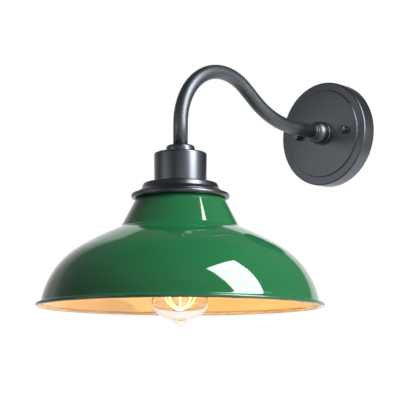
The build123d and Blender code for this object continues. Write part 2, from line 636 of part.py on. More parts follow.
def bulb_base():
    """The bulb's threaded metal shell, its thread drawn as rounded ridges."""
    top = BASE_SHELL_TOP_Z
    hole = BASE_INSULATOR_R + THREAD_GAP
    edges = [Line((hole, top), (BASE_ROOT_R, top))]
    for n in range(BASE_TURNS):
        high = top - n * BASE_PITCH
        crest = (BASE_THREAD_R, high - BASE_PITCH / 2)
        edges.append(ThreePointArc((BASE_ROOT_R, high), crest, (BASE_ROOT_R, high - BASE_PITCH)))
    low = top - BASE_TURNS * BASE_PITCH
    bore = BULB_NECK_R + SLIP_GAP
    ceiling = top - BASE_WALL
    edges += [Line((BASE_ROOT_R, low), (bore, low)), Line((bore, low), (bore, ceiling)),
              Line((bore, ceiling), (hole, ceiling)), Line((hole, ceiling), (hole, top))]
    return SHADE_AXIS * turned(make_face(edges))


def bulb_insulator():
    return SHADE_AXIS * turned(outline(
        (0, INSULATOR_END_Z), (BASE_INSULATOR_R, INSULATOR_END_Z), (BASE_INSULATOR_R, BASE_SHELL_TOP_Z),
        (BASE_CONTACT_R, INSULATOR_TOP_Z), (0, INSULATOR_TOP_Z)))


def bulb_contact():
    button = ring(0, BASE_CONTACT_R, INSULATOR_TOP_Z, BASE_TIP_Z)
    return SHADE_AXIS * fillet(button.edges().group_by(Axis.Z)[-1], BASE_CONTACT_EDGE_R)


def glass_stem():
    """The glass post inside the bulb, with a flare sealed to the neck and a button at its end."""
    top = BULB_NECK_END_Z - GLASS_WALL - SLIP_GAP
    flare_r = BULB_NECK_R - GLASS_WALL - SLIP_GAP
    post = turned(outline((0, top), (flare_r, top), (flare_r, top - GLASS_WALL), (STEM_R, top - flare_r),
                          (STEM_R, STEM_END_Z), (0, STEM_END_Z)))
    return SHADE_AXIS * (post + Pos(0, 0, STEM_END_Z) * Sphere(STEM_BUTTON_R))


def filament_place(n):
    """Direction of one filament loop round the axis, in degrees, and the height of its lowest point."""
    return n * 180 / FILAMENT_LOOPS, FILAMENT_BOTTOM_Z + n * FILAMENT_STEP


def filament():
    """Thin loops hung on the support wires: two straight legs each and a half-round bottom."""
    loops = []
    r = FILAMENT_LOOP_R
    top = STEM_END_Z - SUPPORT_R - FILAMENT_R
    for n in range(FILAMENT_LOOPS):
        angle, bottom = filament_place(n)
        left = Line((-r, top), (-r, bottom + r))
        round_end = JernArc(left @ 1, left % 1, r, 180)
        right = Line(round_end @ 1, (r, top))
        path = Rot(0, 0, angle) * (Plane.XZ * Wire([left, round_end, right]))
        loops.append(SHADE_AXIS * tube_along(path, FILAMENT_R))
    return Compound(children=loops)


def filament_supports():
    """The spokes in the stem's button that carry the loops."""
    start = STEM_BUTTON_R + SLIP_GAP
    end = FILAMENT_LOOP_R + FILAMENT_R + SUPPORT_R
    spoke = Pos(0, 0, STEM_END_Z) * Rot(0, 90, 0) * ring(0, SUPPORT_R, start, end)
    spokes = []
    for n in range(2 * FILAMENT_LOOPS):
        direction = Rot(0, 0, n * 180 / FILAMENT_LOOPS)
        spokes.append(SHADE_AXIS * direction * spoke)
    return Compound(children=spokes)


def build():
    """Every sub-part by its node name."""
    nodes = {
        "mounting_strap": mounting_strap(),
        "ground_screw": ground_screw(),
        "canopy_studs": canopy_studs(),
        "stud_lock_nuts": stud_lock_nuts(),
        "backplate": backplate(),
        "arm_collar": arm_collar(),
        "arm_lock_washer": arm_lock_washer(),
        "arm_lock_nut": arm_lock_nut(),
        "wall_nipple": wall_nipple(),
        "wall_bush": wall_bush(),
        "arm_tube": arm_tube(),
        "socket_bush": socket_bush(),
        "neck_ring": neck_ring(),
        "socket_nipple": socket_nipple(),
        "socket_lock_nuts": socket_lock_nuts(),
        "socket_cup": socket_cup(),
        "gallery": gallery(),
        "socket_bracket": socket_bracket(),
        "bracket_screws": bracket_screws(),
        "terminal_screws": terminal_screws(),
        "socket_body": socket_body(),
        "screw_shell": screw_shell(),
        "centre_contact": centre_contact(),
        "shade_ring": shade_ring(),
        "shade": shade(),
        "line_wire": conductor(1),
        "neutral_wire": conductor(-1),
        "ground_wire": ground_lead(),
        "wire_connectors": wire_connectors(),
        "bulb_glass": bulb_glass(),
        "bulb_base": bulb_base(),
        "bulb_insulator": bulb_insulator(),
        "bulb_contact": bulb_contact(),
        "glass_stem": glass_stem(),
        "filament": filament(),
        "filament_supports": filament_supports(),
    }
    sides = ("left", "right")
    for side, nut_piece, washer_piece in zip(sides, at_studs(thumb_nut()), at_studs(nut_washer())):
        nodes["thumb_nut_" + side] = nut_piece
        nodes["nut_washer_" + side] = washer_piece
    return nodes


os.makedirs("parts", exist_ok=True)
for node, shape in build().items():
    export_step(shape, f"parts/{node}.step")
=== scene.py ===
# %% [markdown]
# # A gooseneck wall light
# A round backplate on the wall, a bent tube, a small socket cup, and an enamelled steel shade with a
# clear bulb that hangs a little below its rim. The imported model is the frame: it gives every body
# its place, and this lesson gives the visible pieces their surfaces and finishes.

# %% Load the frame
import math

import bmesh
import bpy
from mathutils import Matrix, Vector


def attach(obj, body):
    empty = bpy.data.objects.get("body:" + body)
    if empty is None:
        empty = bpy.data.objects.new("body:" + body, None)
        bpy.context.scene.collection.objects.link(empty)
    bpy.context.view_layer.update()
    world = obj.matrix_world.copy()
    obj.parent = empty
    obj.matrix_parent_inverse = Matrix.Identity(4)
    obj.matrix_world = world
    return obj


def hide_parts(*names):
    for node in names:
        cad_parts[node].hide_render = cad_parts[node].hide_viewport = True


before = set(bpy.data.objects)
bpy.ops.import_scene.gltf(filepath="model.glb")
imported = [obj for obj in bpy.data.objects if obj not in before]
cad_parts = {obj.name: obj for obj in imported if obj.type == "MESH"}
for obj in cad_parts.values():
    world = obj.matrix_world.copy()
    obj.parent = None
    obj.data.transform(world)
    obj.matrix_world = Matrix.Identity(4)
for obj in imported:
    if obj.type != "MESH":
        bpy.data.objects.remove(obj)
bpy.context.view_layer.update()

scene = bpy.context.scene
scene.view_settings.view_transform = "Standard"

# %% [markdown]
# ## The camera
# The photograph was taken from the right, a little below the shade, with a long lens. Its place was
# found by matching the rim, the crease, the arm and the backplate, so the numbers are typed here.
# A camera looks along its own -Z, so its three axes are written as the columns of a matrix. Lamps
# shine along their own -Z too, so the same helper places both.

# %% Camera
CAMERA_PLACE = Vector((1.03860, -1.35045, -0.31640))
CAMERA_YAW = math.radians(42.949)
CAMERA_PITCH = math.radians(-7.980)
CAMERA_LENS = 127.9


def aimed(place, back, side):
    """A placing whose +Z looks back along the given direction and whose +X is near the given side."""
    back = back.normalized()
    up = back.cross(side).normalized()
    return Matrix.Translation(place) @ Matrix((up.cross(back), up, back)).transposed().to_4x4()


camera = bpy.data.objects.new("camera", bpy.data.cameras.new("camera"))
camera.data.lens = CAMERA_LENS
camera.data.clip_end = 20
camera_back = Vector((math.sin(CAMERA_YAW) * math.cos(CAMERA_PITCH),
                      -math.cos(CAMERA_YAW) * math.cos(CAMERA_PITCH), math.sin(CAMERA_PITCH)))
camera_side = Vector((math.cos(CAMERA_YAW), math.sin(CAMERA_YAW), 0))
camera.matrix_world = aimed(CAMERA_PLACE, camera_back, camera_side)
scene.collection.objects.link(camera)
scene.camera = camera
print("camera at", tuple(round(value, 3) for value in CAMERA_PLACE))

# %% [markdown]
# ## Lamps
# Glossy enamel is read by what it mirrors. A tall softbox at the right gives the white patch on the
# bowl and the drip of light on the cone. Below it a dimmer one, too low for the bowl to mirror,
# brightens the right of the cup and arm, and a narrow strip in front draws a faint line down the left
# of the cup. The ceiling panel only adds soft light from above: hidden from mirrors, it leaves the
# bowl clear.

# %% Lamps
def panel(name, centre, toward, side, width, height, radiance):
    """A rectangular lamp that the camera can't see. Its power is its radiance by pi and its area."""
    lamp = bpy.data.lights.new(name, "AREA")
    lamp.shape = "RECTANGLE"
    lamp.size = width
    lamp.size_y = height
    lamp.energy = radiance * math.pi * width * height
    holder = bpy.data.objects.new(name, lamp)
    holder.matrix_world = aimed(Vector(centre), -Vector(toward), Vector(side))
    holder.visible_camera = False
    scene.collection.objects.link(holder)
    print(f"{name}: {width} m by {height} m, radiance {radiance}")
    return holder


panel("key_softbox", centre=(1.037, -0.111, 0.509), toward=(-0.682, -0.155, -0.716),
      side=(-0.288, 0.966, 0.064), width=0.58, height=1.04, radiance=9)
panel("low_softbox", centre=(1.28, 0.06, 0.07), toward=(-0.96, -0.24, -0.15),
      side=(-0.24, 0.97, 0), width=0.80, height=0.40, radiance=2.0)
panel("front_strip", centre=(-0.02, -1.70, -0.05), toward=(0, 1, 0),
      side=(1, 0, 0), width=0.10, height=0.5, radiance=1.2)
ceiling = panel("ceiling_panel", centre=(0.15, -0.35, 1.5), toward=(0, 0, -1),
                side=(1, 0, 0), width=1.5, height=1.0, radiance=0.4)
ceiling.visible_glossy = False

# %% [markdown]
# ## Shader maths as Python
# A finish is a small network of nodes. Wrapping a node's output in a class lets `1 - mask` add its
# own Math node, so that a sum reads as a sum and not as a list of nodes and links.

# %% Shader maths
class Flow:
    """The output of a node, on which + - * add Math nodes."""

    def __init__(self, finish, socket):
        self.finish = finish
        self.socket = socket

    def maths(self, operation, first, second):
        return self.finish.node("ShaderNodeMath", {"operation": operation}, {0: first, 1: second})

    def __add__(self, other):
        return self.maths("ADD", self, other)

    def __sub__(self, other):
        return self.maths("SUBTRACT", self, other)

    def __mul__(self, other):
        return self.maths("MULTIPLY", self, other)

    def __rsub__(self, other):
        return self.maths("SUBTRACT", other, self)

    __radd__ = __add__
    __rmul__ = __mul__

# %% [markdown]
# ## A finish as a recipe
# One method makes every other node: its kind, its settings, and the values or links of its sockets.
# The others are the steps that most finishes share, such as soft noise and a relief.

# %% Finish helpers
class Finish:
    """One material, or the world, as a recipe of nodes."""

    def __init__(self, owner):
        owner.use_nodes = True
        self.owner = owner
        self.tree = owner.node_tree
        self.tree.nodes.clear()

    def node(self, kind, settings=None, sockets=None, output=0):
        """Adds a node: its settings first, then its sockets' values or links. Returns one output."""
        made = self.tree.nodes.new(kind)
        for key, value in (settings or {}).items():
            setattr(made, key, value)
        for key, value in (sockets or {}).items():
            if isinstance(value, Flow):
                self.tree.links.new(value.socket, made.inputs[key])
            else:
                made.inputs[key].default_value = value
        return Flow(self, made.outputs[output]) if made.outputs else None

    def blend(self, amount, first, second):
        """A colour between two, by an amount from 0 to 1."""
        inputs = {"Factor": amount, 6: first, 7: second}
        return self.node("ShaderNodeMix", {"data_type": "RGBA"}, inputs, output=2)

    def place(self, stretch=(1, 1, 1)):
        """Object coordinates in metres, stretched."""
        spot = self.node("ShaderNodeTexCoord", output="Object")
        return self.node("ShaderNodeMapping", {}, {"Vector": spot, "Scale": stretch})

    def grain(self, vector, scale, detail=2, roughness=0.5):
        """Soft noise from 0 to 1."""
        sockets = {"Vector": vector, "Scale": scale, "Detail": detail, "Roughness": roughness}
        return self.node("ShaderNodeTexNoise", {}, sockets)

    def bumps(self, height, distance, strength):
        """A relief for Normal, its height in metres."""
        sockets = {"Height": height, "Distance": distance, "Strength": strength}
        return self.node("ShaderNodeBump", {}, sockets)

    def surface(self, **values):
        """The Principled shader, with underscores standing for spaces in its socket names."""
        sockets = {key.replace("_", " "): value for key, value in values.items()}
        return self.node("ShaderNodeBsdfPrincipled", {}, sockets)

    def done(self, shader):
        """Ends the recipe and gives back the material."""
        self.node("ShaderNodeOutputMaterial", {}, {"Surface": shader})
        print(f"{self.owner.name}: {len(self.tree.nodes)} nodes")
        return self.owner


def new_finish(name):
    return Finish(bpy.data.materials.new(name))


def rgb(red, green, blue):
    """A colour in linear light."""
    return (red, green, blue, 1)

# %% [markdown]
# ## The room
# The camera and the glass see white paper all round. A mirrored ray sees the studio instead: a white
# backdrop behind, low on the left, that ends at two straight edges, and a dark ceiling with grey
# stands at the front, right and left. The backdrop's edges are what draws sharp bands on the enamel.
# Diffuse rays get a dim light that comes mostly from the right and hardly from below.

# %% Room
CEILING_DARK = 0.06
CEILING_GREY = 0.14
FRONT_GREY = 0.75
RIGHT_GREY = 0.5
LEFT_GREY = 0.15
BACKDROP_SIDE = 0.22
FILL_LEFT = 0.02
FILL_RIGHT = 0.36
FRONT_STAND = (-0.47, -0.88, 0)
LOWER_EDGE = (0.69, -0.11, 0.72)
FAR_EDGE = (-0.27, 0.76, -0.59)
scene.world = bpy.data.worlds.new("room")
room = Finish(scene.world)
direction = room.node("ShaderNodeTexCoord", output="Generated")
right, back, up = (room.node("ShaderNodeSeparateXYZ", {}, {0: direction}, output=axis)
                   for axis in "XYZ")


def fade(value, start, end, first, last):
    """A smooth change from one strength to another as the value goes from start to end."""
    return room.node("ShaderNodeMapRange", {"interpolation_type": "SMOOTHSTEP"},
                     {0: value, 1: start, 2: end, 3: first, 4: last})


def along(x, y, z):
    """How far a ray of length 1 runs along a direction."""
    return right * x + back * y + up * z


ceiling_grey = fade(up, 0.75, 0.98, CEILING_GREY, CEILING_DARK)
front_grey = fade(along(*FRONT_STAND), 0.90, 0.985, 0, FRONT_GREY) * fade(up, 0.1, 0.6, 1, 0.1)
right_grey = fade(right, 0.2, 0.9, 0, RIGHT_GREY) * fade(up, 0.1, 0.45, 1, 0)
left_grey = fade(right, -0.95, -0.45, LEFT_GREY, 0) * fade(up, 0.25, 0.75, 1, 0.1)
left_grey = left_grey * fade(back, -0.5, 0, 0.1, 1)
under_edge = fade(along(*LOWER_EDGE), -0.05, 0.02, 1, 0)
past_edge = fade(along(*FAR_EDGE), -0.05, 0.10, 0, 1)
backdrop = fade(back, 0.1, 0.65, BACKDROP_SIDE, 1) * under_edge * past_edge
mirrored = backdrop + (1 - backdrop) * (front_grey + right_grey + left_grey + ceiling_grey)
fill = fade(right, -0.6, 0.9, FILL_LEFT, FILL_RIGHT) * fade(up, -0.6, 0.1, 0.2, 1)
camera_ray, glossy, clear = (room.node("ShaderNodeLightPath", output=kind)
                             for kind in ("Is Camera Ray", "Is Glossy Ray", "Is Transmission Ray"))
seen = camera_ray + clear
strength = seen + (1 - seen) * (glossy * mirrored + (1 - glossy) * fill)
sky = room.node("ShaderNodeBackground", {}, {"Color": rgb(1, 1, 1), "Strength": strength})
room.node("ShaderNodeOutputWorld", {}, {"Surface": sky})
print("room:", len(room.tree.nodes), "nodes")

# %% [markdown]
# ## The floor
# A pale sheet far below the light. It glows a little, so it stays pale where no lamp reaches it. It
# is seen by the camera and through glass alone, so it can't whiten the warm inside of the shade.

# %% Floor
FLOOR_HALF_WIDTH = 6.0
FLOOR_Z = -1.6
floor_shape = bmesh.new()
bmesh.ops.create_grid(floor_shape, x_segments=1, y_segments=1, size=FLOOR_HALF_WIDTH,
                      matrix=Matrix.Translation((0, 0, FLOOR_Z)))
floor = bpy.data.objects.new("floor", bpy.data.meshes.new("floor"))
floor_shape.to_mesh(floor.data)
floor_shape.free()
floor.visible_diffuse = floor.visible_glossy = False
scene.collection.objects.link(floor)
paper = new_finish("pale_floor")
floor.data.materials.append(paper.done(paper.surface(
    Base_Color=rgb(0.8, 0.8, 0.8), Roughness=0.9, Emission_Color=rgb(1, 1, 1), Emission_Strength=0.75)))

# %% [markdown]
# ## Making round pieces
# Almost every piece here is spun or turned on a lathe in the factory, so it is made the same way:
# a few corners of half its outline, rounded where the tool rounds them, then spun about the axis.
# A corner is (radius, height, rounding). The alternative, a cylinder with loop cuts, would need a
# bevel on each ring and would still not follow the real outline.

# %% Outline helpers
MM = 0.001
REACH = 265.4
SHADE_AXIS = Matrix.Translation((0, -REACH * MM, 0))
WALL_AXIS = Matrix.Rotation(math.radians(90), 4, "X")


def chain(shape, corners, closed=False, start=None):
    """Joins corners with edges in the lathe's plane, from a start that is there already where one is
    given, and rounds each corner that has a rounding."""
    spots = [shape.verts.new((corner[0] * MM, 0, corner[1] * MM)) for corner in corners]
    run = [start] + spots if start else spots
    for first, second in zip(run, run[1:]):
        shape.edges.new((first, second))
    if closed:
        shape.edges.new((spots[-1], spots[0]))
    for spot, corner in zip(spots, corners):
        if len(corner) > 2:
            round_corner(shape, spot, corner[2])
    return spots


def round_corner(shape, spot, radius, segments=6):
    """Rounds a corner of an outline to a radius in millimetres."""
    one, two = (edge.other_vert(spot).co - spot.co for edge in spot.link_edges)
    turn = math.pi - one.angle(two)
    bmesh.ops.bevel(shape, geom=[spot], offset=radius * MM * math.tan(turn / 2), offset_type="OFFSET",
                    segments=segments, profile=0.5, affect="VERTICES", material=-1)


def sweep_arc(shape, spot, centre, degrees, steps):
    """Carries one corner round a centre (radius, height) and returns the last one made."""
    made = bmesh.ops.spin(shape, geom=[spot], cent=(centre[0] * MM, 0, centre[1] * MM), axis=(0, 1, 0),
                          angle=math.radians(degrees), steps=steps)
    return made["geom_last"][0]

# %% [markdown]
# ## From an outline to a skin
# Spinning a closed outline gives a solid piece, and an open one gives a skin like the sheet that a
# shade is pressed from, which Solidify then makes as thick as the sheet. A spin can leave the faces
# inside out, so they are turned outwards before anything gets a wall.

# %% Skin helpers
def faced_out(shape):
    """Turns every face outwards. An open skin has its ends closed for a moment, since only a closed
    shape has a sure outside: there its volume counts as positive."""
    bmesh.ops.remove_doubles(shape, verts=shape.verts, dist=1e-6)
    ends = [edge for edge in shape.edges if edge.is_boundary]
    lids = bmesh.ops.holes_fill(shape, edges=ends, sides=0)["faces"]
    bmesh.ops.recalc_face_normals(shape, faces=shape.faces)
    if shape.calc_volume(signed=True) < 0:
        bmesh.ops.reverse_faces(shape, faces=shape.faces)
    bmesh.ops.delete(shape, geom=lids, context="FACES_ONLY")


def spun(shape, steps):
    """Turns the outline into a round skin of so many steps."""
    bmesh.ops.spin(shape, geom=shape.verts[:] + shape.edges[:], cent=(0, 0, 0), axis=(0, 0, 1),
                   angle=2 * math.pi, steps=steps, use_merge=True)
    faced_out(shape)


def sheet_wall(skin, thickness, inner_finish=0):
    """Gives an open skin the thickness of its sheet, inwards, with another of its finishes inside."""
    wall = skin.modifiers.new("sheet", "SOLIDIFY")
    wall.thickness = thickness * MM
    wall.offset = -1
    wall.material_offset = inner_finish

# %% [markdown]
# ## Handing a piece over
# Every piece ends in the same way: it is put in its place, shaded smooth but for its sharp edges, and
# given to the body that carries it, and the imported piece that it stands for is hidden.

# %% Piece helpers
SHARP = math.radians(32)


def piece(name, shape, placing, body, nodes, finishes):
    """Puts a finished shape in its place, shades it, and hands it to its body."""
    shape.transform(placing)
    for face in shape.faces:
        face.smooth = True
    for edge in shape.edges:
        edge.smooth = edge.calc_face_angle(0) < SHARP
    made = bpy.data.objects.new(name, bpy.data.meshes.new(name))
    shape.to_mesh(made.data)
    shape.free()
    for finish in finishes:
        made.data.materials.append(finish)
    scene.collection.objects.link(made)
    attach(made, body)
    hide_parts(*nodes)
    print(f"{name}: {len(made.data.polygons)} faces")
    return made


def turned(name, corners, placing, body, nodes, finishes, steps):
    """A solid turned piece from its closed outline."""
    shape = bmesh.new()
    chain(shape, corners, closed=True)
    spun(shape, steps)
    return piece(name, shape, placing, body, nodes, finishes)

# %% [markdown]
# ## Graphite metal
# The arm and its fittings are steel with a dark finish. Brushing leaves fine lines, round the cup and
# straight up the plate, so the grain is noise drawn out a hundred times along them. The arm and its
# collar are only satin: their grain is even and hardly shows. The grain changes how dark and how
# rough the metal is, and one recipe serves all three.

# %% Graphite finishes
METAL_DARK = rgb(0.114, 0.126, 0.145)
METAL_PALE = rgb(0.196, 0.212, 0.236)


def graphite(name, stretch, scale, line_share, roughness):
    """Dark metal whose grain runs where the stretch is small. line_share is how strong the grain is."""
    finish = new_finish(name)
    lines = finish.grain(finish.place(stretch), scale, detail=3, roughness=0.65)
    cloud = finish.grain(finish.place(), scale=14, detail=2)
    tone = finish.blend(lines * line_share + cloud * (1 - line_share), METAL_DARK, METAL_PALE)
    rough = roughness + lines * (0.16 * line_share) + cloud * 0.05
    relief = finish.bumps(lines, distance=0.00001, strength=line_share)
    shader = finish.surface(Base_Color=tone, Metallic=1.0, Roughness=rough, Normal=relief)
    return finish.done(shader)


brushed_round = graphite("graphite_brushed_round", stretch=(0.01, 0.01, 1), scale=700,
                         line_share=0.6, roughness=0.24)
brushed_face = graphite("graphite_brushed_face", stretch=(1, 0.01, 0.01), scale=260,
                        line_share=0.15, roughness=0.29)
satin = graphite("graphite_satin", stretch=(1, 1, 1), scale=420, line_share=0.03, roughness=0.38)

# %% [markdown]
# ## Backplate
# A shallow pan pressed from sheet: a rounded edge, a step, and a raised middle disc. Its closed
# outline has the inside of the pan as well, so it is right from behind.

# %% Backplate
PLATE_R = 62.5
PLATE_RIM = 18.4
PLATE_FACE = 20.4
DISC_R = 52.6
PLATE_WALL = 1.6
RIM_ROUND = 2.0
STEP_ROUND = 0.5
DISC_ROUND = 1.0
NIPPLE_HOLE_R = 4.95
turned("backplate_skin", [
    (PLATE_R, 0), (PLATE_R, PLATE_RIM, RIM_ROUND), (DISC_R, PLATE_RIM, STEP_ROUND),
    (DISC_R, PLATE_FACE, DISC_ROUND), (NIPPLE_HOLE_R, PLATE_FACE),
    (NIPPLE_HOLE_R, PLATE_FACE - PLATE_WALL), (DISC_R - PLATE_WALL, PLATE_FACE - PLATE_WALL),
    (DISC_R - PLATE_WALL, PLATE_RIM - PLATE_WALL), (PLATE_R - PLATE_WALL, PLATE_RIM - PLATE_WALL),
    (PLATE_R - PLATE_WALL, 0)],
    WALL_AXIS, "fixture", ["backplate"], [brushed_face], steps=192)

# %% [markdown]
# ## Arm collar
# A small casting hides the joint between the arm and the plate: a foot, a ball and two rings. The
# ball is an arc swept from the foot, so its highlight is round and not a row of flats.

# %% Arm collar
FOOT_R = 14.2
FOOT_FRONT = 22.6
FOOT_ROUND = 1.0
COLLAR_NECK_R = 9.2
RINGS_START = 35.9
BIG_RING_R = 10.2
BIG_RING_END = 37.9
SMALL_RING_R = 9.7
SMALL_RING_START = 38.9
COLLAR_END = 40.9
RING_ROUND = 0.9
ARM_START = 23.4
ARM_BORE_R = 7.99
BALL = ((12.0, FOOT_FRONT), (13.4, 27.0), (COLLAR_NECK_R, 34.9))


def circle_centre(one, two, three):
    """The centre of the circle through three points of (radius, height)."""
    a, b, c = (Vector(point) for point in (one, two, three))
    ab, ac = b - a, c - a
    scale = 2 * (ab.x * ac.y - ab.y * ac.x)
    across = (ac.y * ab.length_squared - ab.y * ac.length_squared) / scale
    higher = (ab.x * ac.length_squared - ac.x * ab.length_squared) / scale
    return a + Vector((across, higher))


def arc_degrees(centre, start, end):
    """How far a corner swings round the centre from start to end, for sweep_arc."""
    first, last = Vector(start) - centre, Vector(end) - centre
    return -math.degrees(math.atan2(first.x * last.y - first.y * last.x, first.dot(last)))


ball_centre = circle_centre(*BALL)
ball_swing = arc_degrees(ball_centre, BALL[0], BALL[2])
shape = bmesh.new()
foot = chain(shape, [(NIPPLE_HOLE_R, PLATE_FACE), (FOOT_R, PLATE_FACE), (FOOT_R, FOOT_FRONT, FOOT_ROUND),
                     BALL[0]])
ball_end = sweep_arc(shape, foot[-1], ball_centre, ball_swing, steps=14)
rings = chain(shape, [
    (COLLAR_NECK_R, RINGS_START), (BIG_RING_R, RINGS_START, RING_ROUND),
    (BIG_RING_R, BIG_RING_END, RING_ROUND), (COLLAR_NECK_R, BIG_RING_END),
    (COLLAR_NECK_R, SMALL_RING_START), (SMALL_RING_R, SMALL_RING_START, RING_ROUND),
    (SMALL_RING_R, COLLAR_END, RING_ROUND), (ARM_BORE_R, COLLAR_END), (ARM_BORE_R, ARM_START),
    (NIPPLE_HOLE_R, ARM_START)])
shape.edges.new((ball_end, rings[0]))
shape.edges.new((rings[-1], foot[0]))
spun(shape, steps=96)
piece("arm_collar_skin", shape, WALL_AXIS, "fixture", ["arm_collar"], [satin])

# %% [markdown]
# ## Arm
# A real arm is a straight tube pulled round two formers. Here a circle is extruded along the straight
# runs and spun round each former's centre, which gives the exact bends with evenly spaced rings.

# %% Arm
ARM_R = 7.94
ARM_WALL = 1.4
RISE = math.radians(34.5)
RISE_BEND_R = 120.0
RISE_LENGTH = 20.5
TOP_BEND_R = 67.5
CUP_TOP_Z = -55.1
NECK_FLOOR = 2
ARM_END_Z = CUP_TOP_Z + NECK_FLOOR


def advance(shape, ring, travel):
    """Extrudes the open ring of the tube by a travel and returns the new ring."""
    made = bmesh.ops.extrude_edge_only(shape, edges=ring)["geom"]
    verts = [item for item in made if isinstance(item, bmesh.types.BMVert)]
    bmesh.ops.translate(shape, verts=verts, vec=travel)
    return [item for item in made if isinstance(item, bmesh.types.BMEdge)
            and all(vert in verts for vert in item.verts)]


def bend(shape, ring, centre, angle, steps, axis=(1, 0, 0)):
    """Spins the open ring round a former's centre and returns the new ring."""
    geometry = list({vert for edge in ring for vert in edge.verts}) + ring
    made = bmesh.ops.spin(shape, geom=geometry, cent=centre, axis=axis, angle=angle, steps=steps)
    return [item for item in made["geom_last"] if isinstance(item, bmesh.types.BMEdge)]


bends_reach = RISE_BEND_R * math.sin(RISE) + TOP_BEND_R * (1 + math.sin(RISE))
level_end = REACH - bends_reach - RISE_LENGTH * math.cos(RISE)
shape = bmesh.new()
bmesh.ops.create_circle(shape, segments=64, radius=ARM_R * MM,
                        matrix=Matrix.Translation((0, -ARM_START * MM, 0)) @ WALL_AXIS)
ring = advance(shape, shape.edges[:], Vector((0, (ARM_START - level_end) * MM, 0)))
ring = bend(shape, ring, (0, -level_end * MM, RISE_BEND_R * MM), -RISE, steps=24)
climb = Vector((0, -math.cos(RISE), math.sin(RISE))) * RISE_LENGTH * MM
ring = advance(shape, ring, climb)
middle = sum((vert.co for edge in ring for vert in edge.verts), Vector()) / (2 * len(ring))
former = middle + Vector((0, -math.sin(RISE), -math.cos(RISE))) * TOP_BEND_R * MM
ring = bend(shape, ring, former, RISE + math.radians(90), steps=64)
ring_z = sum(vert.co.z for edge in ring for vert in edge.verts) / (2 * len(ring))
ring = advance(shape, ring, Vector((0, 0, ARM_END_Z * MM - ring_z)))
faced_out(shape)
arm = piece("arm_skin", shape, Matrix.Identity(4), "fixture", ["arm_tube"], [satin])
sheet_wall(arm, ARM_WALL)

# %% [markdown]
# ## Neck ring and socket cup
# Two turned pieces stacked on the shade's axis: the ring hides the end of the arm, and the cup hides
# the socket. Each is spun from a closed outline, so the cup has its thin wall and its hollow.

# %% Neck ring and cup
NECK_TOP_Z = -47.0
NECK_R = 15.4
NECK_ROUND = 2.8
CUP_TOP_R = 28.3
CUP_BASE_R = 27.9
CUP_ROUND = 2.2
CUP_INNER_ROUND = 1.0
GALLERY_Z = -88.2
SHEET = 1.2
turned("neck_ring_skin", [
    (NIPPLE_HOLE_R, CUP_TOP_Z), (NECK_R, CUP_TOP_Z), (NECK_R, NECK_TOP_Z, NECK_ROUND),
    (ARM_BORE_R, NECK_TOP_Z), (ARM_BORE_R, ARM_END_Z), (NIPPLE_HOLE_R, ARM_END_Z)],
    SHADE_AXIS, "fixture", ["neck_ring"], [brushed_round], steps=96)
turned("socket_cup_skin", [
    (NIPPLE_HOLE_R, CUP_TOP_Z), (CUP_TOP_R, CUP_TOP_Z, CUP_ROUND), (CUP_BASE_R, GALLERY_Z),
    (CUP_BASE_R - SHEET, GALLERY_Z), (CUP_TOP_R - SHEET, CUP_TOP_Z - SHEET, CUP_INNER_ROUND),
    (NIPPLE_HOLE_R, CUP_TOP_Z - SHEET)],
    SHADE_AXIS, "fixture", ["socket_cup"], [brushed_round], steps=144)

# %% [markdown]
# ## Gallery
# The flared cap over the shade's neck is pressed from sheet, so its skin is spun and then thickened.
# Its edge is rolled into a bead that catches a bright line. A bead is a circle carried round the
# axis, which keeps that line smooth where a rounded corner would show its flats.

# %% Gallery
SHADE_HOLE_R = 19.7
GALLERY_EDGE = (39.6, GALLERY_Z, 2.4)
GALLERY_WAIST = (41.7, -94.6, 4.0)
BEAD_RING_R = 49.7
BEAD_Z = -101.8
BEAD_R = 2.9
shape = bmesh.new()
chain(shape, [(SHADE_HOLE_R, GALLERY_Z), GALLERY_EDGE, GALLERY_WAIST,
              (BEAD_RING_R, BEAD_Z + BEAD_R - SHEET / 2)])
spun(shape, steps=144)
gallery = piece("gallery_skin", shape, SHADE_AXIS, "fixture", ["gallery"], [brushed_round])
sheet_wall(gallery, SHEET)


def bead(name, ring_r, height, bead_r, placing, body, nodes, finishes, steps):
    """A rolled edge: a circle carried round the axis. Its inner half takes the last of its finishes."""
    shape = bmesh.new()
    bmesh.ops.create_circle(shape, segments=28, radius=bead_r * MM,
                            matrix=Matrix.Translation((ring_r * MM, 0, height * MM)) @ WALL_AXIS)
    spun(shape, steps)
    for face in shape.faces:
        if face.calc_center_median().xy.length < ring_r * MM:
            face.material_index = len(finishes) - 1
    return piece(name, shape, placing, body, nodes, finishes)


bead("gallery_bead", BEAD_RING_R, BEAD_Z, BEAD_R, SHADE_AXIS, "fixture", ["gallery"], [brushed_round],
     steps=192)

# %% [markdown]
# ## Cap nuts and their washers
# Two round cap nuts hold the plate on its studs. When one is unscrewed, it turns as it comes off and
# its washer only slides, so nut and washer ride on different bodies.

